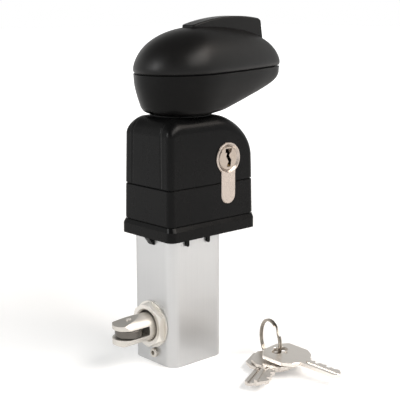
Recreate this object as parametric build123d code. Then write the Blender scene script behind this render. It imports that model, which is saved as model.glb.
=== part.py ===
from build123d import *
import os
from math import cos, sin, pi, sqrt, radians, exp, log, hypot, atan2

os.makedirs("parts", exist_ok=True)

# ---------------------------------------------------------------- dimensions
# All lengths are millimetres. Z is up, the case tube is centred on Z and stands on
# z = 0. The latch bolt points to -X, the cylinder faces -Y and the handle's nose
# hangs out to +X.

# case tube
thx, thy = 18.4, 16.6
tube_r = 5.8
tube_wall = 2.2
tube_top = 75.0
tix, tiy = thx - tube_wall, thy - tube_wall
plug_top = 2.5

# base flange
fl_z0, fl_z1, fl_z2 = 69.4, 74.7, 77.7
fl_x0, fl_x1, fl_y = -22.4, 39.1, 20.75

# housings; the side walls lean in by draft (mm per mm) above the seam
h_x0, h_x1, h_y = -21.3, 38.55, 19.1
draft = 0.018
seam_z = 96.2
h_top = 132.2
al, bl = 8.6, 9.4
ar, br = 24.8, 23.6
r_edge = 8.1
r_vert = 3.2
h_wall = 2.4
cav_y = 14.9

# cylinder (Euro profile, 17 mm circle, 10 mm tail, 33 mm tall)
cy_x, cy_z = 19.25, 109.1
cy_r = 8.5
cy_tail = 5.0
cy_bot = 84.6
cy_y0, cy_y1 = -19.6, 14.8
plug_r = 6.4
cam_y0, cam_y1 = 3.6, 11.8
cam_yc = 8.9

# spindle and drive
sp_x = 2.8
sp_r = 5.0
crank_r = 10.0
crank_z = 30.2

# handle
neck_r = 16.3
hd_bot = 133.0
seam_h = 154.35
seam_k = 0.015
dome_h = 23.2
dome_xc = 15.9
dome_p = 2.112
R1, R2, egg_l, egg_bulge, egg_x0 = 24.07, 10.47, 61.17, 2.513, 1.95
shell_wall = 2.6

# latch bolt
b_y, b_z = 0.0, 20.9
n_z = 21.4
b_r = 7.55
nose_x, nose_r = -36.0, 7.5
b_slot = 5.0
roll_x = -34.4
roll_r = 7.5
roll_t = 4.2
bush_bore = 8.1
bush_af = 22.0
bush_x = -22.8
lock_y, lock_z = -2.5, 6.0

yoke_x = (-8.6, -2.9)

# keys
key_t = 1.9


# ---------------------------------------------------------------- helpers
def box(x0, x1, y0, y1, z0, z1):
    return Pos((x0 + x1) / 2, (y0 + y1) / 2, (z0 + z1) / 2) * Box(x1 - x0, y1 - y0, z1 - z0)


def cylz(x, y, r, z0, z1):
    return Pos(x, y, (z0 + z1) / 2) * Cylinder(r, z1 - z0)


def cyly(x, z, r, y0, y1):
    return Pos(x, (y0 + y1) / 2, z) * Rot(90, 0, 0) * Cylinder(r, y1 - y0)


def cylx(y, z, r, x0, x1):
    return Pos((x0 + x1) / 2, y, z) * Rot(0, 90, 0) * Cylinder(r, x1 - x0)


def rprism(x0, x1, y0, y1, z0, z1, r):
    sk = Pos((x0 + x1) / 2, (y0 + y1) / 2, z0) * RectangleRounded(x1 - x0, y1 - y0, r)
    return extrude(sk, amount=z1 - z0)


def save(node, shape):
    solids = shape.solids() if not isinstance(shape, (list, tuple)) else [s for q in shape for s in q.solids()]
    out = solids[0] if len(solids) == 1 else Compound(children=list(solids))
    export_step(out, "parts/" + node + ".step")


# ---------------------------------------------------------------- case tube
tube = rprism(-thx, thx, -thy, thy, 0, tube_top, tube_r)
tube -= rprism(-tix, tix, -tiy, tiy, -1, tube_top + 1, tube_r - tube_wall)
tube -= cylx(b_y, n_z, 10.0, -thx - 1, -tix + 1)
tube -= cylx(lock_y, lock_z, 1.6, -thx - 1, -tix + 1)
side_screws = [(0.0, 43.5, "y"), (0.0, 43.5, "x"), (0.0, 66.0, "y"), (0.0, 66.0, "x")]
for a, z, ax in side_screws:
    if ax == "y":
        tube -= cyly(a, z, 2.1, tiy - 1, thy + 1)
        tube -= Pos(a, thy - 1.1, z) * Rot(-90, 0, 0) * Cone(2.1, 4.0, 2.2)
    else:
        tube -= cylx(a, z, 2.1, tix - 1, thx + 1)
        tube -= Pos(thx - 1.1, a, z) * Rot(0, 90, 0) * Cone(2.1, 4.0, 2.2)
save("case_tube", tube)


def csk_screw(a, z, ax, depth):
    # countersunk screw with a hexagon socket, head flush with the tube face
    s = Pos(0, 0, -1.1) * Cone(2.0, 3.9, 2.2)
    s += Pos(0, 0, -2.2 - depth / 2) * Cylinder(2.0, depth)
    s -= extrude(Pos(0, 0, -1.6) * RegularPolygon(1.3, 6), amount=3)
    if ax == "y":
        return Pos(a, thy, z) * Rot(-90, 0, 0) * s
    return Pos(thx, a, z) * Rot(0, 90, 0) * s


save("tube_screws", [csk_screw(a, z, ax, 5.0) for a, z, ax in side_screws])

# cap that closes the tube's lower end
bp = rprism(-tix + 0.05, tix - 0.05, -tiy + 0.05, tiy - 0.05, 0.0, plug_top, 3.5)
save("bottom_plug", chamfer(bp.faces().sort_by(Axis.Z)[0].edges(), 0.4))

# ---------------------------------------------------------------- base flange
fl = rprism(fl_x0, fl_x1, -fl_y, fl_y, fl_z0, fl_z1, 3.8)
cap = loft([Pos((fl_x0 + fl_x1) / 2, 0, fl_z1) * RectangleRounded(fl_x1 - fl_x0, 2 * fl_y, 3.8),
            Pos((h_x0 + h_x1) / 2, 0, fl_z2 - 0.8) * RectangleRounded(h_x1 - h_x0 + 0.8, 2 * h_y + 0.8, 3.4)])
fl += cap
fl += rprism(h_x0 + 0.4, h_x1 - 0.4, -h_y + 0.4, h_y - 0.4, fl_z2 - 0.8, fl_z2, 2.7)
fl -= rprism(-thx, thx, -thy, thy, fl_z0 - 1, tube_top, tube_r)
fl += rprism(-tix, tix, -tiy, tiy, 61.0, tube_top, tube_r - tube_wall)
# the underside of the overhang is ribbed
fl -= box(20.9, 26.2, -17.0, 17.0, fl_z0 - 1, 74.5)
fl -= box(33.8, 37.4, -17.0, 17.0, fl_z0 - 1, 74.5)
fl -= box(-13.2, 13.2, -12.8, -10.0, 60, 73.5)
fl -= box(-13.2, 13.2, 10.0, 12.8, 60, 73.5)
fl -= cylz(sp_x, 0, 6.2, 60, 79)
for a, z, ax in side_screws[2:]:
    fl -= cyly(a, z, 2.0, tiy - 8, tiy + 1) if ax == "y" else cylx(a, z, 2.0, tix - 8, tix + 1)
for sgn in (-1, 1):
    for x in (-8.5, 6.1):
        fl += box(x - 1.0, x + 1.0, min(sgn * thy, sgn * (thy + 1.4)), max(sgn * thy, sgn * (thy + 1.4)), 66.4, fl_z0)
        fl += cyly(x, 66.4, 1.0, min(sgn * thy, sgn * (thy + 1.4)), max(sgn * thy, sgn * (thy + 1.4)))
gus = Polyline((-thx, fl_z0), (-thx - 3.9, fl_z0), (-thx - 0.9, 65.4), (-thx, 65.2), close=True)
gus = extrude(Plane(origin=(0, -2.6, 0), x_dir=(1, 0, 0), z_dir=(0, -1, 0)) * Pos(0, 0, 0) * make_face(gus), amount=-3.6)
fl += gus
fl += box(thx, thx + 1.4, -9.0, -7.0, 65.4, fl_z0)
fl += box(thx, thx + 1.4, 7.0, 9.0, 65.4, fl_z0)
h_screws = [(30.0, 13.5), (30.0, -13.5), (-11.8, 8.0), (-11.8, -8.0)]
for x, y in h_screws:
    z0 = fl_z0 if x > 0 else 61.0
    fl -= cylz(x, y, 2.2, 60, 80)
    fl -= cylz(x, y, 3.8, z0 - 1, 72.4)
save("base_flange", fl)

# ---------------------------------------------------------------- housings
def euro(off, y0, y1):
    s = cyly(cy_x, cy_z, cy_r + off, y0, y1)
    s += box(cy_x - cy_tail - off, cy_x + cy_tail + off, y0, y1, cy_bot + cy_tail, cy_z)
    s += cyly(cy_x, cy_bot + cy_tail, cy_tail + off, y0, y1)
    return s


dlo = draft * (seam_z - fl_z2)
hxc = (h_x0 + h_x1) / 2
lo = loft([Pos(hxc, 0, fl_z2) * RectangleRounded(h_x1 - h_x0 + 2 * dlo, 2 * (h_y + dlo), r_vert + 0.2),
           Pos(hxc, 0, seam_z - 0.5) * RectangleRounded(h_x1 - h_x0, 2 * h_y, r_vert)], ruled=True)
lo += loft([Pos(hxc, 0, seam_z - 0.5) * RectangleRounded(h_x1 - h_x0, 2 * h_y, r_vert),
            Pos(hxc, 0, seam_z) * RectangleRounded(h_x1 - h_x0 - 1.0, 2 * h_y - 1.0, r_vert - 0.5)], ruled=True)
lo -= box(h_x0 + h_wall, h_x1 - h_wall, -cav_y, cav_y, 80.2, seam_z + 1)
for x, y in h_screws:
    top = seam_z if x > 0 else 93.8
    lo += cylz(x, y, 4.2, 80.0, top)
    lo += box(x - 1, x + 1, min(y, 15.4 * (1 if y > 0 else -1)), max(y, 15.4 * (1 if y > 0 else -1)), 80.0, top)
lo += box(h_x0 + 1.5, -17.2, -15.4, 15.4, 80.0, 93.8)
lo -= euro(0.15, -25, 15.0)
lo -= cylz(sp_x, 0, 6.2, 70, 85)
lo -= cylx(cam_yc, cy_bot + 4.2, 2.7, 24, 60)
lo -= cylx(cam_yc, cy_bot + 4.2, 4.8, 35.6, 60)
for x, y in h_screws:
    lo -= cylz(x, y, 2.0, 70, 100)
save("lower_housing", lo)


def up_section(y, inset_t, inset_v):
    # one slice of the shell across Y, on a plane that leans in with the draft: a
    # small shoulder at the back, a flat top and a large shoulder over the cylinder
    q = 0.5523
    zt = h_top - inset_t
    d0, da, db, dt = 0.0, draft * (h_top - bl - seam_z), draft * (h_top - br - seam_z), draft * (zt - seam_z)
    xa, xb = h_x0 + inset_v, h_x1 - inset_v
    ax, az, bx, bz = al - inset_v, bl - inset_t, ar - inset_v, br - inset_t
    lx, lz, rx, rz = h_x0 + al, h_top - bl, h_x1 - ar, h_top - br
    la = Bezier((lx + dt, zt), (lx - q * ax + dt, zt), (xa + da * 0.6 + dt * 0.4, lz + q * az), (xa + da, lz))
    ra = Bezier((xb - db, rz), (xb - db * 0.5 - dt * 0.5, rz + q * bz), (rx + q * bx - dt, zt), (rx - dt, zt))
    w = Wire([Line((xa, seam_z), (xb, seam_z)), Line((xb, seam_z), (xb - db, rz)), ra,
              Line((rx - dt, zt), (lx + dt, zt)), la, Line((xa + da, lz), (xa, seam_z))])
    sgn = 1 if y > 0 else -1
    # the plane passes through y at the seam and leans towards the middle
    pl = Plane(origin=(0, y, seam_z), x_dir=(1, 0, 0), z_dir=(0, -1, -sgn * draft))
    return pl * Pos(0, -seam_z, 0) * make_face(w)


ym = h_y - r_edge
up = loft([up_section(-ym, 0, 0), up_section(ym, 0, 0)], ruled=True)
for sgn in (-1, 1):
    secs = []
    for i in range(0, 10):
        a = radians(90 - 10 * i)
        t = r_edge * (1 - cos(a))
        dt = r_edge * (1 - sin(a))
        dv = r_vert - sqrt(max(r_vert ** 2 - (r_vert - t) ** 2, 0)) if t < r_vert else 0.0
        secs.append(up_section(sgn * (h_y - t), dt, dv))
    up += loft(secs)
cav = Polyline((h_x0 + h_wall, 90), (h_x0 + h_wall, h_top - bl - 1.0), (h_x0 + al - 1.0, h_top - 3.2),
               (h_x1 - ar, h_top - 3.2), (24.2, 126.4), (30.8, 120.2), (34.2, 113.6), (35.0, 108.0),
               (h_x1 - h_wall - 0.6, 90), close=True)
cav = extrude(Plane(origin=(0, cav_y, 0), x_dir=(1, 0, 0), z_dir=(0, -1, 0)) * make_face(cav), amount=2 * cav_y)
up -= cav
ring = rprism(h_x0 - 2, h_x1 + 2, -h_y - 2, h_y + 2, seam_z - 0.1, seam_z + 0.6, 4)
ring -= rprism(h_x0 + 0.9, h_x1 - 0.9, -h_y + 0.9, h_y - 0.9, seam_z - 0.2, seam_z + 0.7, 2.2)
up -= ring
for x, y in h_screws:
    s = 15.4 * (1 if y > 0 else -1)
    top = 112.0 if x > 0 else h_top - 3.4
    up += cylz(x, y, 4.2, seam_z, top)
    up += box(x - 1, x + 1, min(y, s), max(y, s), seam_z, top)
up += cylz(sp_x, 0, 13.0, 124.5, h_top - 1)
up -= cylz(sp_x, 0, 9.0, 120, h_top + 1)
up -= euro(0.15, -25, 15.0)
for x, y in h_screws:
    up -= cylz(x, y, 1.9, 90, 108)
save("upper_housing", up)


def cap_screw(x, y, z, length, r=2.0, hr=3.5, hh=3.6):
    # socket head screw pointing up, head underneath
    s = cylz(x, y, hr, z, z + hh) + cylz(x, y, r - 0.05, z + hh, z + hh + length)
    s -= extrude(Pos(x, y, z - 0.1) * RegularPolygon(1.7, 6), amount=2.1)
    return s


save("housing_screws", [cap_screw(x, y, 68.8 + (0.0), 33.0, r=1.9) for x, y in h_screws])

# ---------------------------------------------------------------- mid plate
mp = rprism(-18.7, 11.8, -14.8, 14.8, 93.8, seam_z, 1.5)
mp -= cylz(sp_x, 0, sp_r + 0.06, 90, 100)
mp -= box(2.9, 9.7, 6.3, 11.9, 90, 100)
for x, y in h_screws[2:]:
    mp -= cylz(x, y, 2.0, 90, 100)
save("mid_plate", mp)

# ---------------------------------------------------------------- cylinder
cyl = euro(0, cy_y0, cy_y1)
cyl = cyl - (cyly(cy_x, cy_z, 15.9, cam_y0, cam_y1))
cyl -= cyly(cy_x, cy_z, plug_r + 0.1, cy_y0 - 1, cam_y0 + 1)
cyl -= cyly(cy_x, cy_z, 3.0, cam_y1 - 1, cam_y1 + 2.4)
cyl -= cyly(cy_x, cy_z, 4.7, cam_y1 - 1, cam_y1 + 1.6)
cyl -= Pos(cy_x, cy_y0 + 0.45, cy_z) * Rot(90, 0, 0) * Cone(plug_r + 0.2, plug_r + 1.2, 0.9)
cyl -= cylx(cam_yc, cy_bot + 4.2, 2.5, 10, 30)
pin_y = [-15.2, -11.5, -7.8, -4.1, -0.4]
for y in pin_y:
    cyl -= cylz(cy_x, y, 1.5, cy_bot + 2.2, cy_z - 4)
try:
    fe = [e for e in cyl.edges() if abs(e.center().Y - cy_y0) < 0.01 and (e.center() - Vector(cy_x, cy_y0, cy_z)).length > plug_r + 1.6]
    cyl = chamfer(fe, 0.35)
except Exception as ex:
    print("tail chamfer left out", ex)
save("cylinder_body", cyl)
save("driver_pins", [cylz(cy_x, y, 1.4, 98.3, 102.45) for y in pin_y])
save("pin_springs", [(cylz(cy_x, y, 1.3, 87.3, 98.1) - cylz(cy_x, y, 0.9, 87.0, 98.3)) for y in pin_y])

plug = cyly(cy_x, cy_z, plug_r, cy_y0 + 0.35, cam_y0 + 0.2)
plug += cyly(cy_x, cy_z, 2.9, cam_y0, cam_y1 + 1.9)
kw = Polyline((-0.9, 5.2), (1.3, 5.2), (1.5, 3.0), (0.5, 1.6), (1.0, 0.6), (2.1, -0.9), (1.5, -4.6), (-0.9, -4.6),
              (-0.9, -3.4), (0.1, -1.9), (-0.7, -0.5), (-1.6, 1.0), (-1.0, 3.0), close=True)
kws = extrude(Plane(origin=(cy_x, cy_y0 - 1, cy_z), x_dir=(1, 0, 0), z_dir=(0, -1, 0)) * make_face(kw), amount=-21.5)
plug -= kws
# shallow lead-in at the keyway's mouth
lead = Polyline((-2.7, 5.2), (2.7, 5.2), (2.0, 2.9), (-2.0, 2.9), close=True)
plug -= extrude(Plane(origin=(cy_x, cy_y0, cy_z), x_dir=(1, 0, 0), z_dir=(0, -1, 0)) * make_face(lead), amount=-1.5)
for y in pin_y:
    plug -= cylz(cy_x, y, 1.5, cy_z - 8, cy_z - 2.2)
try:
    pe = [e for e in plug.edges() if abs(e.center().Y - (cy_y0 + 0.35)) < 0.01 and e.geom_type == GeomType.CIRCLE]
    plug = chamfer(pe, 0.4)
except Exception as ex:
    print("plug chamfer left out", ex)
save("cylinder_plug", plug)
save("key_pins", [cylz(cy_x, y, 1.4, cy_z - plug_r + 0.25, cy_z - 3.6) for y in pin_y])

cam_a = radians(25)
tr, tw = 12.3, 2.2
tx, tz = cy_x - tr * cos(cam_a), cy_z + tr * sin(cam_a)
cam = cyly(cy_x, cy_z, 8.2, cam_y0 + 0.3, cam_y1 - 0.3) - cyly(cy_x, cy_z, 2.95, 0, 20)
tong = Pos(-(6.0 + tr) / 2, 0, 0) * Box(tr - 6.0, 5.2, 2.8) + Pos(-tr, 0, 0) * Rot(90, 0, 0) * Cylinder(tw, 5.2)
cam += Pos(cy_x, cam_yc, cy_z) * Rot(0, 25, 0) * tong
cam -= cyly(cy_x, cy_z, 2.95, 0, 20)
save("cylinder_cam", cam)
circ = cyly(cy_x, cy_z, 4.2, cam_y1 + 0.35, cam_y1 + 1.25) - cyly(cy_x, cy_z, 2.9, 0, 20) - box(cy_x - 1.6, cy_x + 1.6, 10, 15, cy_z, cy_z + 6)
cyl_pocket = None
save("cam_circlip", circ)

fs = cylx(cam_yc, cy_bot + 4.2, 2.45, cy_x - 4.0, 37.0) + cylx(cam_yc, cy_bot + 4.2, 4.5, 35.7, 38.2)
fs -= extrude(Plane(origin=(38.3, cam_yc, cy_bot + 4.2), x_dir=(0, 1, 0), z_dir=(1, 0, 0)) * RegularPolygon(1.8, 6), amount=-2)
save("cylinder_fixing_screw", fs)

# ---------------------------------------------------------------- locking slide and disc
ls = box(3.2, 9.4, 6.6, 11.6, 94.5, tz + 5.2)
ls -= box(4.3, 12, 5, 13, tz - 2.7, tz + 2.7)
save("locking_slide", ls)

dz0, dz1 = 88.0, 91.0
disc = cylz(sp_x, 0, 10.8, dz0, dz1)
notch = box(0.4 - 0.6, 16, 6.6 - 0.6, 16, dz0 - 1, dz1 + 1)
for k in (0, -90):
    disc -= Pos(sp_x, 0, 0) * Rot(0, 0, k) * notch
disc -= cylz(sp_x, 0, sp_r, dz0 - 1, dz1 + 1)
save("locking_disc", disc)

# ---------------------------------------------------------------- neck bearing
nb = cylz(sp_x, 0, neck_r, h_top, hd_bot - 0.35) + cylz(sp_x, 0, 9.0, 122.5, h_top)
nb = chamfer(nb.edges().filter_by(GeomType.CIRCLE).sort_by(Axis.Z)[-1], 0.4)
nb -= cylz(sp_x, 0, sp_r + 0.06, 120, 140)
save("neck_bearing", nb)

# ---------------------------------------------------------------- spindle train
sp = cylz(sp_x, 0, sp_r, crank_z, 138.2)
sq = Pos(sp_x, 0, (138.2 + 149.2) / 2) * Box(7.0, 7.0, 11.0)
sp += sq
sp -= cylz(sp_x, 0, 2.1, 138.2, 150)
sp -= (cylz(sp_x, 0, 6, 120.6, 121.7) - cylz(sp_x, 0, 4.2, 120, 122))
sp -= cylx(0, crank_z + 6.0, 1.5, sp_x - 10, sp_x + 10)
save("spindle", sp)
cc = cylz(sp_x, 0, 7.2, 120.65, 121.65) - cylz(sp_x, 0, 4.2, 120, 122) - box(sp_x - 8, sp_x - 1, -1.4, 1.4, 120, 122)
save("spindle_circlip", cc)

cr = cylz(sp_x, 0, 8.0, crank_z, crank_z + 8.4)
px, py = sp_x + crank_r * cos(radians(225)), crank_r * sin(radians(225))
arm = cylz(px, py, 3.9, crank_z, crank_z + 4.0)
arm += Pos((sp_x + px) / 2, py / 2, crank_z + 2.0) * Rot(0, 0, 45) * Box(crank_r, 7.8, 4.0)
cr += arm
cr += cylz(px, py, 2.5, 24.5, crank_z + 1)
cr -= cylz(sp_x, 0, sp_r, crank_z - 1, 40)
cr -= cylx(0, crank_z + 6.0, 1.5, sp_x - 10, sp_x + 10)
save("drive_crank", cr)
save("crank_roll_pin", cylx(0, crank_z + 6.0, 1.5, sp_x - 7.9, sp_x + 7.9) - cylx(0, crank_z + 6.0, 0.7, sp_x - 8, sp_x + 8))

sb = rprism(-tix + 0.05, tix - 0.05, -tiy + 0.05, tiy - 0.05, 39.2, 48.0, 3.7) - cylz(sp_x, 0, 7.5, 38, 50)
for a, z, ax in side_screws[:2]:
    sb -= cyly(a, z, 2.0, tiy - 8, tiy + 1) if ax == "y" else cylx(a, z, 2.0, tix - 8, tix + 1)
save("spindle_support", sb)
bu = cylz(sp_x, 0, 7.5, 39.2, 48.0) + cylz(sp_x, 0, 9.0, 48.0, 49.5) - cylz(sp_x, 0, sp_r + 0.06, 38, 50)
save("lower_spindle_bush", bu)

# torsion spring round the spindle, its legs on the floor of the lower housing
turns, pitch, sw, sr = 4.5, 1.28, 0.55, 5.72
hel = Helix(pitch=pitch, height=pitch * turns, radius=sr)
sec = Plane(origin=hel @ 0, z_dir=hel % 0) * Circle(sw)
spr = sweep(sec, path=hel)
spr = Pos(sp_x, 0, 80.2 + sw + 0.1) * spr
save("return_spring", spr)

# ---------------------------------------------------------------- bolt parts
gb = rprism(-tix + 0.02, -12.6, -10.6, 10.6, plug_top + 0.2, 37.0, 0.4) - cylx(b_y, n_z, 10.0, -20, -10)
gb -= cylx(lock_y, lock_z, 1.45, -20, -10)
save("bolt_guide_block", gb)

bush = Pos(bush_x, b_y, n_z) * Rot(0, 90, 0) * extrude(RegularPolygon(bush_af / 2, 6, major_radius=False), amount=-thx - bush_x)
bush = bush & (cylx(b_y, n_z, 12.75, -thx - 2.9, -thx) + Pos((bush_x - thx - 2.9) / 2, b_y, n_z) * Rot(0, 90, 0) * Cone(11.0, 12.75, -thx - 2.9 - bush_x))
bush += cylx(b_y, n_z, 12.6, -thx - 1.0, -thx)
bush += cylx(b_y, n_z, 10.0, -thx, -12.6)
bush -= cylx(b_y, n_z, bush_bore, -30, 0)
bush -= Pos(bush_x + 0.5, b_y, n_z) * Rot(0, 90, 0) * Cone(9.0, 8.0, 1.0)
save("latch_bush", bush)

bls = cylx(lock_y, lock_z, 1.45, -thx, -12.8) + cylx(lock_y, lock_z, 2.55, -thx - 2.0, -thx)
bls = fillet(bls.edges().filter_by(GeomType.CIRCLE).sort_by(Axis.X)[0], 0.5)
bls -= extrude(Plane(origin=(-thx - 2.1, lock_y, lock_z), x_dir=(0, 1, 0), z_dir=(-1, 0, 0)) * RegularPolygon(1.3, 6), amount=-1.6)
save("bush_lock_screw", bls)

bolt = cylx(b_y, b_z, b_r, nose_x - nose_r - 2, -0.6)
# the nose is rounded in plan about a vertical axis
bolt = bolt & (cylz(nose_x, b_y, nose_r, 0, 45) + box(nose_x, 5, -20, 20, 0, 45))
# long shallow flat on the upper ear
w = Polyline((-50, b_z + 3.476), (-28.0, b_z + 7.568), (-28.0, b_z + 12), (-50, b_z + 12), close=True)
bolt -= extrude(Plane(origin=(0, 20, 0), x_dir=(1, 0, 0), z_dir=(0, -1, 0)) * make_face(w), amount=40)
# short flat below the lower ear
w = Polyline((-50, b_z - 3.9), (-36.0, b_z - 7.57), (-36.0, b_z - 12), (-50, b_z - 12), close=True)
bolt -= extrude(Plane(origin=(0, 20, 0), x_dir=(1, 0, 0), z_dir=(0, -1, 0)) * make_face(w), amount=40)
# tang behind the round shank
bolt -= box(-11.6, 2, -20, 20, 24.2, 40)
# slot for the roller
bolt -= box(nose_x - 12, -26.2, -20, 20, b_z - b_slot / 2, b_z + b_slot / 2)
bolt -= cylz(roll_x, b_y, 1.5, 10, 35)
for x in yoke_x:
    bolt -= cylz(x, b_y, 1.2, 18, 26)
save("latch_bolt", bolt)

roller = cylz(roll_x, b_y, roll_r, b_z - roll_t / 2, b_z + roll_t / 2)
roller = fillet(roller.edges(), 0.5)
roller -= cylz(roll_x, b_y, 1.56, 10, 35)
save("bolt_roller", roller)
rp = cylz(roll_x, b_y, 1.5, b_z - 7.2, b_z + 6.5)
save("roller_pin", rp)

yk = box(-11.0, 1.6, -12.9, 5.0, 24.2, 27.2)
yk = chamfer(yk.edges().filter_by(Axis.Z).sort_by(Axis.X)[-2:], 2.0)
yk -= box(px - 2.95, px + 2.95, -15, -4.4, 23, 28)
for x in yoke_x:
    yk -= cylz(x, b_y, 1.5, 23, 28)
save("bolt_yoke", yk)
save("yoke_screws", [(cylz(x, b_y, 1.2, 19.0, 27.2) + cylz(x, b_y, 2.2, 27.2, 28.6) - box(x - 2, x + 2, b_y - 0.3, b_y + 0.3, 27.9, 29)) for x in yoke_x])


# ---------------------------------------------------------------- handle shells
def egg(n, inset=0.0, s=1.0, rc=18.5, xc=None):
    # plan outline by its support function: a wide head, a narrow nose and bulged
    # flanks; s blends it into a circle about the spindle
    pts = []
    for i in range(n):
        a = 2 * pi * i / n

        def sup(t):
            h1, h2 = R1, R2 + egg_l * cos(t)
            m = max(h1, h2)
            return m + egg_bulge * log(exp((h1 - m) / egg_bulge) + exp((h2 - m) / egg_bulge)) - inset
        e = 1e-4
        h, d = sup(a), (sup(a + e) - sup(a - e)) / (2 * e)
        ex, ey = h * cos(a) - d * sin(a), h * sin(a) + d * cos(a)
        cx, cy = sp_x + (rc - inset) * cos(a), (rc - inset) * sin(a)
        pts.append((s * (ex + egg_x0) + (1 - s) * cx, s * ey + (1 - s) * cy))
    return pts


def ring_face(pts, z, k):
    w = Wire([Spline([(x, y, z + k * x) for x, y in pts], periodic=True)])
    return Face(w)


NP = 36
belly = [(0.0, 0.00, 17.1), (0.5, 0.00, 18.35), (1.5, 0.108, 19.4), (2.8, 0.196, 19.95), (4.6, 0.33, 20.1), (6.6, 0.478, 20.17),
         (8.8, 0.646, 20.17), (11.0, 0.796, 20.17), (13.4, 0.919, 20.17), (15.8, 0.979, 20.17), (18.2, 0.992, 20.17), (20.3, 1.0, 20.17)]
lz0 = hd_bot


def belly_sections(inset, z_from):
    out = []
    for dz, s, rc in belly:
        if dz < z_from:
            continue
        z = lz0 + dz * (seam_h - 0.5 - lz0) / 20.3
        k = seam_k * min(1.0, dz / 20.3)
        e = 0.42 * min(1.0, dz / 11.0, (20.3 - dz) / 8.0)
        out.append(ring_face(egg(NP, inset + e, s, rc + e), z, k))
    return out


lower = loft(belly_sections(0.0, -1))
l_in = loft(belly_sections(shell_wall, 3.0))
slab = box(-60, 120, -60, 60, lz0 + 20.0, lz0 + 60)
lower -= l_in
lip_o = loft([ring_face(egg(NP, 2.75), seam_h - 1.6, seam_k), ring_face(egg(NP, 2.75), seam_h + 0.9, seam_k)])
lip_i = loft([ring_face(egg(NP, 3.6), seam_h - 2.6, seam_k), ring_face(egg(NP, 3.6), seam_h + 1.9, seam_k)])
top_cut = Rot(0, -0.8594, 0) * box(-80, 140, -60, 60, seam_h - 0.55, seam_h + 60)
lower -= top_cut
lower += lip_o - lip_i
for x, y in ((50.0, 0.0), (-14.5, 0.0)):
    lower += cylz(x, y, 3.6, 141.0 if x > 0 else 137.0, seam_h - 0.7)
lower -= cylz(sp_x, 0, sp_r + 0.6, 130, 150)
for x, y in ((50.0, 0.0), (-14.5, 0.0)):
    lower -= cylz(x, y, 1.6, 130, 160)
    lower -= cylz(x, y, 3.0, 130, 143.5)
save("handle_lower_shell", lower)


def dome_sections(inset, dz, kmax):
    out = []
    base = egg(NP, inset)
    if inset == 0.0:
        for dz0_, o in ((0.12, 0.55), (0.7, 0.1), (1.6, -0.15)):
            out.append(ring_face(egg(NP, o), seam_h + dz0_, seam_k))
    for a in (0, 8, 16, 25, 34, 43, 52, 61, 69, 77, 84.5):
        if a > kmax or (inset == 0.0 and a == 0):
            continue
        s = sin(radians(a))
        c = (1 - s ** dome_p) ** (1 / dome_p)
        grow = 0.22 * exp(-((a - 8.0) / 9.0) ** 2) if inset == 0.0 else 0.0
        src = egg(NP, inset - grow)
        pts = [(dome_xc + c * (x - dome_xc), c * y) for x, y in src]
        out.append(ring_face(pts, seam_h + dz + (dome_h - inset) * s, seam_k * (1 - 0.0 * s)))
    return out


upper_o = loft(dome_sections(0.0, 0.0, 90))
upper_i = loft(dome_sections(shell_wall, -0.01, 76))
upper = upper_o - upper_i
for x, y in ((50.0, 0.0), (-14.5, 0.0)):
    upper += cylz(x, y, 3.6, seam_h + 1.1, seam_h + 21) & upper_o
    upper -= cylz(x, y, 1.4, 150, seam_h + 9)
save("handle_upper_shell", upper)


def m3(x, z, ln):
    return cylz(x, 0, 2.8, z, z + 2.0) + cylz(x, 0, 1.4, z + 2.0, z + ln) - extrude(Pos(x, 0, z - 0.1) * RegularPolygon(1.2, 6), amount=1.4)


save("shell_screws", [m3(50.0, 141.5, 20.0), m3(-14.5, 141.5, 20.0)])

# grip fin along the top of the upper shell
fp = [(7.4, 174.0), (7.4, 178.3), (16.7, 180.55), (27.2, 182.15), (40.2, 182.8), (55.6, 181.5), (57.3, 180.0), (59.3, 168.0)]
fw = Wire([Line(fp[0], fp[1]), Spline(fp[1], fp[2], fp[3], fp[4], fp[5]), Line(fp[5], fp[6]), Line(fp[6], fp[7]),
           Line(fp[7], (59.3, 160.0)), Line((59.3, 160.0), (7.4, 160.0)), Line((7.4, 160.0), fp[0])])
fin = extrude(Plane(origin=(0, 5.0, 0), x_dir=(1, 0, 0), z_dir=(0, -1, 0)) * make_face(fw), amount=10)
try:
    ve = [e for e in fin.edges().filter_by(Axis.Z) if e.center().X < 8.0]
    fin = fillet(ve, 2.2)
except Exception as ex:
    print("fin front rounding left out", ex)
try:
    fe = [e for e in fin.edges() if e.center().Z > 177.5 and e.center().X < 56 and not (abs(e.center().Y) < 4.9 and e.center().X > 50)]
    fin = fillet(fe, 0.9)
except Exception as ex:
    print("fin perimeter fillet left out", ex)
fin -= upper_o
fin = fin.solids().sort_by(SortBy.VOLUME)[-1]
save("grip_fin", fin)

hub = cylz(sp_x, 0, 12.0, lz0 + 4.8, 147.2) - Pos(sp_x, 0, 143) * Box(7.1, 7.1, 20) - cylz(sp_x, 0, sp_r + 0.1, 130, 138.25)
hub += cylz(sp_x, 0, 13.0, lz0 + 4.8, lz0 + 6.8) - Pos(sp_x, 0, 143) * Box(7.1, 7.1, 20) - cylz(sp_x, 0, sp_r + 0.1, 130, 138.25)
save("handle_hub", hub)
hs = cylz(sp_x, 0, 2.05, 139.7, 149.2) + cylz(sp_x, 0, 7.0, 149.2, 150.4) + cylz(sp_x, 0, 4.2, 150.4, 153.2)
hs -= extrude(Pos(sp_x, 0, 151.4) * RegularPolygon(1.9, 6), amount=3)
save("handle_screw", hs)

# ---------------------------------------------------------------- keys
tilt_deg = 1.0
ring_c = (28.7, -42.5, 11.8)
ring_az = -109.0
dx, dy = cos(radians(ring_az)), sin(radians(ring_az))
ring_r, ring_w = 10.9, 0.75


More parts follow.
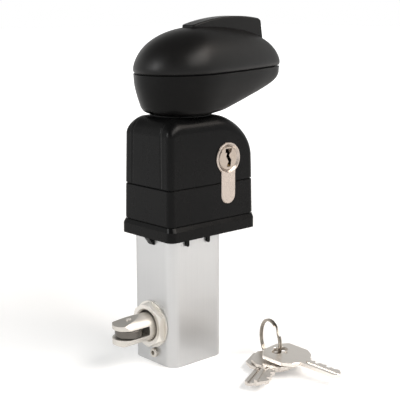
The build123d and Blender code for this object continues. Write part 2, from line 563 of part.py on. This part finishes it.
def key(hole_xy, az, z0, cuts, slot=(10.8, 5.0), tilt=0.0):
    # bow with cut corners, cross slot, shoulder and a bitted blade; the slot's centre
    # is the origin of the outline, the blade runs along +x of it
    bow = Polyline((-6.6, -5.5), (-2.3, -12.0), (10.0, -12.0), (14.6, -8.5), (16.4, -5.2), (16.4, 5.2), (14.6, 8.5),
                   (10.0, 12.0), (-2.3, 12.0), (-6.6, 5.5), close=True)
    k = extrude(make_face(bow), amount=key_t)
    k = fillet(k.edges().filter_by(Axis.Z), 0.8)
    bl = [(15.0, -4.2), (36.4, -4.2), (38.0, -2.3), (38.0, 0.4), (35.8, 3.0)]
    x = 34.3
    for c in cuts:
        bl += [(x, 3.9 - c * 0.3), (x - 1.3, 3.9 - c), (x - 2.3, 3.9 - c)]
        x -= 3.4
    bl += [(17.6, 4.2), (15.0, 4.2)]
    k += extrude(make_face(Polyline(*bl, close=True)), amount=key_t)
    k -= Pos(0, 0, key_t / 2) * extrude(SlotOverall(slot[0], slot[1], rotation=90), amount=key_t, both=True)
    k -= Pos(0.4, 0, key_t / 2) * extrude(SlotOverall(8.4, 3.0), amount=key_t, both=True)
    k -= box(18.0, 40, -2.2, -0.8, key_t - 0.55, key_t + 1)
    k -= box(18.0, 40, 0.2, 1.4, -1, 0.5)
    try:
        ee = [e for e in k.edges() if abs(e.center().Z - key_t) < 0.01 and e.center().X < 15.5]
        k = chamfer(ee, 0.25)
    except Exception as ex:
        print("bow bevel left out", ex)
    return Pos(hole_xy[0], hole_xy[1], z0) * Rot(0, 0, az) * Rot(0, tilt, 0) * k


k_z = [2.3, 2.3 + key_t + 0.13, 7.7]
k_tilt = 5.0


def leg(z):
    h = sqrt(max(ring_r ** 2 - (ring_c[2] - z) ** 2, 0))
    return ring_c[0] + dx * h, ring_c[1] + dy * h


lB, lC, lA = leg(k_z[0] + 0.95), leg(k_z[1] + 0.95), leg(k_z[2] + 0.95)
kB = key((25.8, -47.4), 207.0, k_z[0], (1.6, 2.6, 1.2, 2.9, 2.0))
kC = key((25.9, -50.5), 211.0, k_z[1], (2.6, 1.4, 2.2, 1.0, 2.6))
kA = key((25.3, -52.3), -83.0, k_z[2], (1.6, 2.6, 1.2, 2.9, 2.0), tilt=k_tilt)
save("key_1", kA)
save("key_2", kB)
save("key_3", kC)
kr = Torus(ring_r, ring_w)
t2 = Pos(ring_c[0], ring_c[1], ring_c[2] + 0.0) * Rot(0, 0, ring_az) * Rot(90, 0, 0) * kr
save("key_ring", t2)
print("ring legs", [tuple(round(v, 2) for v in leg(z + 0.95)) for z in k_z])
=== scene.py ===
import math

import bpy
import numpy as np
from mathutils import Matrix, Vector


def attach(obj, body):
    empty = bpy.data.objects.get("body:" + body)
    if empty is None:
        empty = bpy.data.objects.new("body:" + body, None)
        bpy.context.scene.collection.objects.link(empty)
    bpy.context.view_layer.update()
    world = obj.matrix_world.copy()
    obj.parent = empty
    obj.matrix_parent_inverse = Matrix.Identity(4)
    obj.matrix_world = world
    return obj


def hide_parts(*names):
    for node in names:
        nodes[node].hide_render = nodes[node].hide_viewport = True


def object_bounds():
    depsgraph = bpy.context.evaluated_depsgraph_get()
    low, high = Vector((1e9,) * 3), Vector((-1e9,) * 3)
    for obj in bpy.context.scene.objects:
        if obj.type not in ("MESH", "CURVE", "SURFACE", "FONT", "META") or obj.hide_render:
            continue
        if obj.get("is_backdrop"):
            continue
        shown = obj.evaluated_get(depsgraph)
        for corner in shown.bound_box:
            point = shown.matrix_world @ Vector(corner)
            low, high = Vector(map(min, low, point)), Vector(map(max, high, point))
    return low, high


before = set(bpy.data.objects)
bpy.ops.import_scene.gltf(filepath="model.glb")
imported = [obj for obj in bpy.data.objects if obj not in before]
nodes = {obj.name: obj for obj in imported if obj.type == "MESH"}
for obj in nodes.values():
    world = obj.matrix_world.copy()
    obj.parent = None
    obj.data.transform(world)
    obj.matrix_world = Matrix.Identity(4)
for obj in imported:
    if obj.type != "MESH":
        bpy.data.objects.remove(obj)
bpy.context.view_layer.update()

MM = 0.001


# ---------------------------------------------------------------- camera
# Azimuth -42.3 degrees, 11.5 degrees down, 86.5 mm lens on a 36 mm frame.
cam_data = bpy.data.cameras.new("camera")
cam_data.sensor_fit = "HORIZONTAL"
cam_data.sensor_width = 36.0
cam_data.lens = 960.9 / 400 * 36.0
cam_data.clip_start, cam_data.clip_end = 0.02, 50.0
cam = bpy.data.objects.new("camera", cam_data)
bpy.context.scene.collection.objects.link(cam)
cam_r = Vector((0.73897, -0.67373, -0.00253))
cam_u = Vector((0.13675, 0.14630, 0.97974))
cam_f = Vector((0.65971, 0.72435, -0.20024))
cam.matrix_world = Matrix((
    (cam_r.x, cam_u.x, -cam_f.x, -0.33029),
    (cam_r.y, cam_u.y, -cam_f.y, -0.38060),
    (cam_r.z, cam_u.z, -cam_f.z, 0.18929),
    (0, 0, 0, 1)))
bpy.context.scene.camera = cam
bpy.context.scene.view_settings.view_transform = "Standard"
bpy.context.scene.view_settings.look = "None"


# ---------------------------------------------------------------- studio
def area(name, at, to, w, h, watts, tint=(1, 1, 1)):
    data = bpy.data.lights.new(name, "AREA")
    data.shape = "RECTANGLE"
    data.size, data.size_y = w, h
    data.energy = watts
    data.color = tint
    o = bpy.data.objects.new(name, data)
    bpy.context.scene.collection.objects.link(o)
    o.location = at
    o.rotation_mode = "QUATERNION"
    o.rotation_quaternion = (Vector(to) - Vector(at)).to_track_quat("-Z", "Y")
    return o


area("front_box", (0.22, -0.80, 0.86), (0.01, 0, 0.12), 0.86, 0.46, 9.6, (1.0, 0.96, 0.92))
area("right_fade", (0.62, -0.62, 0.88), (0.02, 0, 0.15), 0.62, 0.42, 4.0, (1.0, 0.90, 0.82))
area("left_box", (-1.05, 0.30, 0.62), (0, 0, 0.12), 0.36, 0.55, 8.0, (1.0, 1.0, 1.0))

world = bpy.data.worlds.new("studio")
bpy.context.scene.world = world
world.use_nodes = True
wt = world.node_tree
wt.nodes.clear()
w_out = wt.nodes.new("ShaderNodeOutputWorld")
w_mix = wt.nodes.new("ShaderNodeMixShader")
w_cam = wt.nodes.new("ShaderNodeBackground")
w_env = wt.nodes.new("ShaderNodeBackground")
w_path = wt.nodes.new("ShaderNodeLightPath")
w_tex = wt.nodes.new("ShaderNodeTexCoord")
w_sep = wt.nodes.new("ShaderNodeSeparateXYZ")
w_ramp = wt.nodes.new("ShaderNodeValToRGB")
w_cam.inputs["Color"].default_value = (1, 1, 1, 1)
w_cam.inputs["Strength"].default_value = 1.0
w_env.inputs["Strength"].default_value = 1.0
ramp = w_ramp.color_ramp
ramp.elements[0].position, ramp.elements[0].color = 0.0, (1.05, 1.05, 1.04, 1)
ramp.elements[1].position, ramp.elements[1].color = 1.0, (0.17, 0.17, 0.17, 1)
for at, level in ((0.33, 1.0), (0.52, 0.42), (0.74, 0.19)):
    e = ramp.elements.new(at)
    e.color = (level, level, level * 0.985, 1)
wt.links.new(w_tex.outputs["Generated"], w_sep.inputs[0])
wt.links.new(w_sep.outputs["Z"], w_ramp.inputs[0])
wt.links.new(w_ramp.outputs[0], w_env.inputs["Color"])
wt.links.new(w_path.outputs["Is Camera Ray"], w_mix.inputs[0])
wt.links.new(w_env.outputs[0], w_mix.inputs[1])
wt.links.new(w_cam.outputs[0], w_mix.inputs[2])
wt.links.new(w_mix.outputs[0], w_out.inputs[0])


# ---------------------------------------------------------------- materials
class Nodes:
    """A small helper that builds one material's node tree."""

    def __init__(self, name):
        self.m = bpy.data.materials.new(name)
        self.m.use_nodes = True
        self.t = self.m.node_tree
        self.t.nodes.clear()
        self.out = self.t.nodes.new("ShaderNodeOutputMaterial")
        self.p = self.t.nodes.new("ShaderNodeBsdfPrincipled")
        self.t.links.new(self.p.outputs[0], self.out.inputs[0])
        self.coord = self.t.nodes.new("ShaderNodeTexCoord").outputs["Object"]

    def link(self, a, b):
        self.t.links.new(a, b)

    def noise(self, scale, stretch=(1, 1, 1), rot=(0, 0, 0), detail=4.0, rough=0.55):
        m = self.t.nodes.new("ShaderNodeMapping")
        m.inputs["Scale"].default_value = stretch
        m.inputs["Rotation"].default_value = rot
        n = self.t.nodes.new("ShaderNodeTexNoise")
        n.inputs["Scale"].default_value = scale
        n.inputs["Detail"].default_value = detail
        n.inputs["Roughness"].default_value = rough
        if any(rot):
            r = self.t.nodes.new("ShaderNodeMapping")
            r.inputs["Rotation"].default_value = rot
            m.inputs["Rotation"].default_value = (0, 0, 0)
            self.link(self.coord, r.inputs["Vector"])
            self.link(r.outputs[0], m.inputs["Vector"])
        else:
            self.link(self.coord, m.inputs["Vector"])
        self.link(m.outputs[0], n.inputs["Vector"])
        return n.outputs["Fac"]

    def math(self, op, a, b=None, clamp=False):
        n = self.t.nodes.new("ShaderNodeMath")
        n.operation = op
        n.use_clamp = clamp
        for i, v in enumerate((a, b)):
            if v is None:
                continue
            if isinstance(v, (int, float)):
                n.inputs[i].default_value = v
            else:
                self.link(v, n.inputs[i])
        return n.outputs[0]

    def remap(self, v, a, b, c, d):
        n = self.t.nodes.new("ShaderNodeMapRange")
        n.clamp = True
        self.link(v, n.inputs["Value"])
        for k, x in (("From Min", a), ("From Max", b), ("To Min", c), ("To Max", d)):
            n.inputs[k].default_value = x
        return n.outputs[0]

    def mix(self, f, a, b):
        n = self.t.nodes.new("ShaderNodeMix")
        n.data_type = "RGBA"
        self.link(f, n.inputs[0])
        for i, v in ((6, a), (7, b)):
            if isinstance(v, tuple):
                n.inputs[i].default_value = (*v, 1)
            else:
                self.link(v, n.inputs[i])
        return n.outputs[2]

    def edge(self, radius, lo, hi):
        """0 on flat places, up to 1 on outer and inner edges."""
        b = self.t.nodes.new("ShaderNodeBevel")
        b.samples = 4
        b.inputs["Radius"].default_value = radius
        g = self.t.nodes.new("ShaderNodeNewGeometry")
        d = self.t.nodes.new("ShaderNodeVectorMath")
        d.operation = "DOT_PRODUCT"
        self.link(b.outputs[0], d.inputs[0])
        self.link(g.outputs["Normal"], d.inputs[1])
        inv = self.math("SUBTRACT", 1.0, d.outputs["Value"])
        return self.remap(inv, lo, hi, 0.0, 1.0)

    def finish(self, heights, bevel=0.00012):
        """Chains bump layers of (height, strength, distance) on a softened edge normal."""
        last = None
        if bevel:
            b = self.t.nodes.new("ShaderNodeBevel")
            b.samples = 4
            b.inputs["Radius"].default_value = bevel
            last = b.outputs[0]
        for h, strength, distance in heights:
            n = self.t.nodes.new("ShaderNodeBump")
            n.inputs["Strength"].default_value = strength
            n.inputs["Distance"].default_value = distance
            self.link(h, n.inputs["Height"])
            if last is not None:
                self.link(last, n.inputs["Normal"])
            last = n.outputs[0]
        if last is not None:
            self.link(last, self.p.inputs["Normal"])
        return self.m


def plastic(name, dark, light, rough, spread, spec, grain=1500.0, grain_bump=0.10, wear=0.5, bevel=0.0002,
            blotch=35.0):
    """Moulded or painted black: faint cloudiness, fine grain and slightly rubbed edges."""
    n = Nodes(name)
    cloud = n.noise(blotch, detail=5.0)
    grains = n.noise(grain, detail=3.0)
    smears = n.noise(90.0, stretch=(1, 1, 0.35), detail=6.0, rough=0.65)
    col = n.mix(n.remap(cloud, 0.3, 0.7, 0.0, 1.0), dark, light)
    rub = n.math("MULTIPLY", n.edge(0.0006, 0.16, 0.6), n.remap(n.noise(420.0, detail=5.0), 0.42, 0.72, 0.0, wear), True)
    col = n.mix(rub, col, tuple(min(1.0, c * 3.2 + 0.012) for c in light))
    n.link(col, n.p.inputs["Base Color"])
    r = n.remap(smears, 0.25, 0.75, rough - spread, rough + spread)
    r = n.math("ADD", r, n.math("MULTIPLY", rub, -0.06))
    n.link(r, n.p.inputs["Roughness"])
    n.p.inputs["Specular IOR Level"].default_value = spec
    return n.finish([(grains, grain_bump, 0.00002), (cloud, 0.05, 0.0002)], bevel)


def metal(name, low, high, rough, spread, stretch=(1, 1, 1), rot=(0, 0, 0), line=3200.0, line_bump=0.08, tint=None,
          bevel=0.0, metallic=1.0, spec=0.5, lines_mix=0.6):
    """Bare or plated metal: brushing or turning marks along one direction, cloudy tint, brighter rubbed edges."""
    n = Nodes(name)
    lines = n.noise(line, stretch=stretch, rot=rot, detail=4.0, rough=0.6)
    cloud = n.noise(60.0, detail=5.0)
    spots = n.noise(700.0, detail=3.0)
    f = n.math("ADD", n.math("MULTIPLY", n.remap(lines, 0.25, 0.75, 0, 1), lines_mix),
               n.math("MULTIPLY", n.remap(cloud, 0.3, 0.7, 0, 1), 1.0 - lines_mix))
    col = n.mix(f, low, high)
    edge = n.math("MULTIPLY", n.edge(0.0004, 0.05, 0.5), n.remap(spots, 0.35, 0.65, 0.25, 0.75), True)
    col = n.mix(edge, col, tint or tuple(min(1.0, c * 1.12) for c in high))
    n.link(col, n.p.inputs["Base Color"])
    r = n.remap(lines, 0.25, 0.75, rough - spread, rough + spread)
    r = n.math("ADD", r, n.remap(cloud, 0.3, 0.7, -0.03, 0.03))
    n.link(r, n.p.inputs["Roughness"])
    n.p.inputs["Metallic"].default_value = metallic
    n.p.inputs["Specular IOR Level"].default_value = spec
    return n.finish([(lines, line_bump, 0.00001), (spots, 0.015, 0.00001)], bevel)


M = {
    "housing": plastic("housing_black", (0.0018, 0.0018, 0.0019), (0.0034, 0.0034, 0.0035), 0.27, 0.05, 0.080,
                       grain=1300.0, grain_bump=0.10, wear=0.35, bevel=0.0),
    "flange": plastic("flange_black", (0.0018, 0.0018, 0.0018), (0.0034, 0.0034, 0.0034), 0.27, 0.06, 0.082,
                      grain=1700.0, grain_bump=0.2, wear=0.4),
    "handle": plastic("handle_black", (0.0022, 0.0021, 0.0020), (0.0040, 0.0038, 0.0037), 0.40, 0.05, 0.165,
                      grain=1900.0, grain_bump=0.16, wear=0.25, bevel=0.0003),
    "handle_low": plastic("handle_lower_black", (0.0021, 0.0020, 0.0020), (0.0036, 0.0035, 0.0034), 0.38, 0.05, 0.080,
                          grain=1900.0, grain_bump=0.16, wear=0.25, bevel=0.0),
    "inner_black": plastic("inner_black", (0.008, 0.008, 0.008), (0.015, 0.015, 0.015), 0.5, 0.08, 0.3),
    "tube": metal("anodised_aluminium", (0.462, 0.465, 0.469), (0.522, 0.522, 0.521), 0.40, 0.05, stretch=(1, 1, 0.006),
                  line=2600.0, line_bump=0.16, lines_mix=0.7, metallic=0.92),
    "nut": metal("nut_steel", (0.66, 0.635, 0.59), (0.75, 0.72, 0.675), 0.38, 0.03, stretch=(1, 0.06, 0.06), line=1000.0,
                 line_bump=0.03, lines_mix=0.35),
    "nickel": metal("nickel", (0.36, 0.311, 0.274), (0.445, 0.39, 0.35), 0.27, 0.06, stretch=(1, 0.2, 1), line=1800.0),
    "nickel_turned": metal("nickel_turned", (0.31, 0.262, 0.222), (0.375, 0.322, 0.278), 0.24, 0.06, line=1500.0),
    "stainless_x": metal("stainless_turned", (0.53, 0.505, 0.465), (0.61, 0.585, 0.545), 0.47, 0.03,
                         stretch=(1, 0.06, 0.06), line=1000.0, line_bump=0.03, lines_mix=0.35),
    "stainless": metal("stainless", (0.52, 0.49, 0.45), (0.62, 0.59, 0.545), 0.24, 0.05, line=1600.0, line_bump=0.03),
    "roller": metal("roller_steel", (0.11, 0.102, 0.092), (0.15, 0.14, 0.128), 0.22, 0.05, stretch=(0.05, 0.05, 1), line=2600.0,
                    line_bump=0.03),
    "key_a": metal("key_nickel_a", (0.80, 0.75, 0.695), (0.89, 0.845, 0.795), 0.33, 0.05, stretch=(1, 0.05, 1),
                   rot=(0, 0, math.radians(83 + 90)), line=1300.0, line_bump=0.07),
    "key_b": metal("key_nickel_b", (0.50, 0.465, 0.43), (0.60, 0.56, 0.52), 0.30, 0.05, stretch=(1, 0.05, 1),
                   rot=(0, 0, math.radians(-207 + 90)), line=1300.0, line_bump=0.07),
    "key_c": metal("key_nickel_c", (0.56, 0.52, 0.48), (0.66, 0.62, 0.575), 0.30, 0.05, stretch=(1, 0.05, 1),
                   rot=(0, 0, math.radians(-211 + 90)), line=1300.0, line_bump=0.07),
    "ring": metal("ring_nickel", (0.27, 0.24, 0.205), (0.40, 0.36, 0.31), 0.16, 0.05, line=900.0),
    "steel": metal("zinc_steel", (0.46, 0.47, 0.49), (0.60, 0.61, 0.63), 0.34, 0.08, line=1200.0),
    "steel_z": metal("spindle_steel", (0.44, 0.45, 0.46), (0.58, 0.585, 0.59), 0.30, 0.07, stretch=(1, 1, 0.02), line=2600.0),
    "brass": metal("brass", (0.62, 0.46, 0.20), (0.78, 0.60, 0.30), 0.28, 0.07, line=1400.0),
    "bronze": metal("bronze", (0.48, 0.30, 0.14), (0.62, 0.42, 0.22), 0.38, 0.08, line=1200.0),
    "cast": metal("cast_alloy", (0.40, 0.405, 0.41), (0.55, 0.555, 0.56), 0.48, 0.08, line=700.0, line_bump=0.4),
    "cast_black": plastic("cast_black", (0.007, 0.007, 0.007), (0.012, 0.012, 0.012), 0.45, 0.08, 0.3),
}

LOOK = {
    "case_tube": "tube", "base_flange": "flange", "lower_housing": "housing", "upper_housing": "housing",
    "neck_bearing": "inner_black", "cylinder_body": "nickel", "cylinder_plug": "nickel_turned",
    "latch_bolt": "stainless_x", "latch_bush": "nut", "bolt_roller": "roller", "roller_pin": "stainless",
    "bush_lock_screw": "stainless", "key_1": "key_a", "key_2": "key_b", "key_3": "key_c", "key_ring": "ring",
    "handle_upper_shell": "handle", "handle_lower_shell": "handle_low", "grip_fin": "handle",
    "spindle": "steel_z", "bottom_plug": "inner_black", "spindle_support": "cast", "handle_hub": "cast",
    "lower_spindle_bush": "bronze", "key_pins": "brass", "driver_pins": "brass", "cylinder_cam": "cast",
    "bolt_guide_block": "inner_black",
}
for name, o in nodes.items():
    o.data.materials.clear()
    o.data.materials.append(M[LOOK.get(name, "steel")])


# ---------------------------------------------------------------- mesh helpers
def piece(name, verts, faces, body, look, replaced=(), smooth=True, sharp_deg=None):
    me = bpy.data.meshes.new(name)
    me.from_pydata([tuple(v) for v in verts], [], faces)
    me.validate()
    o = bpy.data.objects.new(name, me)
    bpy.context.scene.collection.objects.link(o)
    me.materials.append(M[look])
    for p in me.polygons:
        p.use_smooth = smooth
    if sharp_deg is not None:
        me.set_sharp_from_angle(angle=math.radians(sharp_deg))
    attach(o, body)
    if replaced:
        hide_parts(*replaced)
    return o


def stack(rings, start_pole=None, end_pole=None, flip=False):
    """Quads between closed rings of equal length, with fans to the poles."""
    n = len(rings[0])
    verts, faces = [], []
    for r in rings:
        verts += [tuple(p) for p in r]
    for k in range(len(rings) - 1):
        for i in range(n):
            a, b = k * n + i, k * n + (i + 1) % n
            faces.append((a, b, b + n, a + n))
    if start_pole is not None:
        verts.append(tuple(start_pole))
        for i in range(n):
            faces.append((len(verts) - 1, (i + 1) % n, i))
    if end_pole is not None:
        verts.append(tuple(end_pole))
        base = (len(rings) - 1) * n
        for i in range(n):
            faces.append((len(verts) - 1, base + i, base + (i + 1) % n))
    if flip:
        faces = [tuple(reversed(f)) for f in faces]
    return verts, faces


# ---------------------------------------------------------------- handle shell
SP_X = 2.8
SEAM_H, SEAM_K, DOME_H, DOME_XC, DOME_P = 154.35, 0.015, 23.2, 15.9, 2.112
R1, R2, EGG_L, BULGE, EGG_X0 = 24.07, 10.47, 61.17, 2.513, 1.95
NA = 192


def egg(inset=0.0, n=NA):
    """Plan outline by its support function: wide head, narrow nose, bulged flanks."""
    t = 2 * math.pi * np.arange(n) / n

    def sup(a):
        h1, h2 = R1 + 0 * a, R2 + EGG_L * np.cos(a)
        return BULGE * np.logaddexp(h1 / BULGE, h2 / BULGE) - inset
    h, d = sup(t), (sup(t + 1e-4) - sup(t - 1e-4)) / 2e-4
    return h * np.cos(t) - d * np.sin(t) + EGG_X0, h * np.sin(t) + d * np.cos(t)


def dome_ring(dz, inset, height=DOME_H):
    s = min(dz / height, 0.9999)
    c = (1 - s ** DOME_P) ** (1 / DOME_P)
    x, y = egg(inset)
    x, y = DOME_XC + c * (x - DOME_XC), c * y
    return np.stack([x, y, SEAM_H + dz + SEAM_K * x], 1) * MM


def edge_inset(dz):
    """How far the dome's rolled lower edge is tucked in at height dz above the seam."""
    zs = [0.12, 0.35, 0.7, 1.1, 1.6, 2.3, 3.23]
    vs = [0.55, 0.28, 0.10, -0.04, -0.15, -0.205, -0.22]
    if dz <= 3.23:
        return float(np.interp(dz, zs, vs))
    a = math.degrees(math.asin(min(1.0, dz / DOME_H)))
    return -0.22 * math.exp(-((a - 8.0) / 9.0) ** 2)


outer = [dome_ring(dz, edge_inset(dz)) for dz in (0.12, 0.2, 0.35, 0.5, 0.7, 0.9, 1.1, 1.35, 1.6, 1.95, 2.3, 2.75)]
for a in np.arange(8.0, 86.1, 2.6):
    dz = DOME_H * math.sin(math.radians(a))
    outer.append(dome_ring(dz, edge_inset(dz)))
for a in (87.3, 88.6):
    outer.append(dome_ring(DOME_H * math.sin(math.radians(a)), 0.0))
inner = []
for a in (88.0, 84.0, 78.0, 71.0, 63.0, 55.0, 46.0, 37.0, 28.0, 19.0, 10.0, 4.0):
    hi = DOME_H - 2.6
    inner.append(dome_ring(hi * math.sin(math.radians(a)), 2.6, hi))
inner.append(dome_ring(0.12, 2.6, DOME_H - 2.6))
n_out = len(outer)
top_o = (DOME_XC * MM, 0, (SEAM_H + DOME_H + SEAM_K * DOME_XC) * MM)
top_i = (DOME_XC * MM, 0, (SEAM_H + DOME_H - 2.6 + SEAM_K * DOME_XC) * MM)
v1, f1 = stack(outer, end_pole=top_o)
v2, f2 = stack(inner, start_pole=top_i)
off = len(v1)
f2 = [tuple(i + off for i in f) for f in f2]
rim = []
for i in range(NA):
    j = (i + 1) % NA
    a, b = off + (len(inner) - 1) * NA + i, off + (len(inner) - 1) * NA + j
    rim.append((i, a, b, j))
dome = piece("handle_dome", v1 + v2, f1 + [tuple(f) for f in f2] + [tuple(reversed(r)) for r in rim], "handle", "handle",
             ("handle_upper_shell",))


# ---------------------------------------------------------------- split ring
def split_ring():
    """Two flat turns side by side with one cross-over step and cut ends."""
    cx, cy, cz, r, az = 28.7, -42.5, 11.8, 10.9, math.radians(-109.0)
    d = np.array([math.cos(az), math.sin(az), 0.0])
    axis = np.array([-math.sin(az), math.cos(az), 0.0])
    upv = np.array([0.0, 0.0, 1.0])
    cross, half = math.radians(30), 0.45
    start = math.radians(62)
    ts = np.linspace(0, 4 * math.pi - cross - math.radians(5), 230)
    sec = []
    for k in range(16):
        a = 2 * math.pi * k / 16
        ca, sa = math.cos(a), math.sin(a)
        sec.append((0.42 * np.sign(ca) * abs(ca) ** 0.55, 0.70 * np.sign(sa) * abs(sa) ** 0.55))
    rings = []
    for t in ts:
        u = np.clip((t - (2 * math.pi - cross)) / cross, 0, 1)
        w = -half + 2 * half * (u * u * (3 - 2 * u))
        a = start + t
        rad = d * math.cos(a) + upv * math.sin(a)
        c = np.array([cx, cy, cz]) + rad * r + axis * w
        rings.append(np.array([c + rad * q + axis * p for p, q in sec]) * MM)
    return stack(rings, start_pole=rings[0].mean(0), end_pole=rings[-1].mean(0))


v, f = split_ring()
piece("split_ring", v, f, "ring", "ring", ("key_ring",), sharp_deg=40)


# ---------------------------------------------------------------- floor
fl = bpy.data.meshes.new("floor")
S = 6.0
fl.from_pydata([(-S, -S, -0.0002), (S, -S, -0.0002), (S, S, -0.0002), (-S, S, -0.0002)], [], [(0, 1, 2, 3)])
floor = bpy.data.objects.new("floor", fl)
bpy.context.scene.collection.objects.link(floor)
n = Nodes("floor_paper")
fib = n.noise(900.0, detail=5.0)
n.link(n.mix(fib, (0.86, 0.86, 0.86), (0.90, 0.90, 0.895)), n.p.inputs["Base Color"])
n.link(n.remap(fib, 0.3, 0.7, 0.85, 0.95), n.p.inputs["Roughness"])
n.p.inputs["Specular IOR Level"].default_value = 0.1
# Painted light: the floor glows white, weakest close to the lock and stronger further out (0.22 at 0.2 m, 0.95 at 1.2
# m), so it is painted shade on the floor next to the object.
n.p.inputs["Emission Color"].default_value = (1, 1, 1, 1)
dist = n.t.nodes.new("ShaderNodeVectorMath")
dist.operation = "LENGTH"
n.link(n.coord, dist.inputs[0])
n.link(n.remap(dist.outputs["Value"], 0.2, 1.2, 0.22, 0.95), n.p.inputs["Emission Strength"])
fl.materials.append(n.finish([(fib, 0.05, 0.00005)], 0))
floor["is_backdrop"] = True

lo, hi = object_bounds()
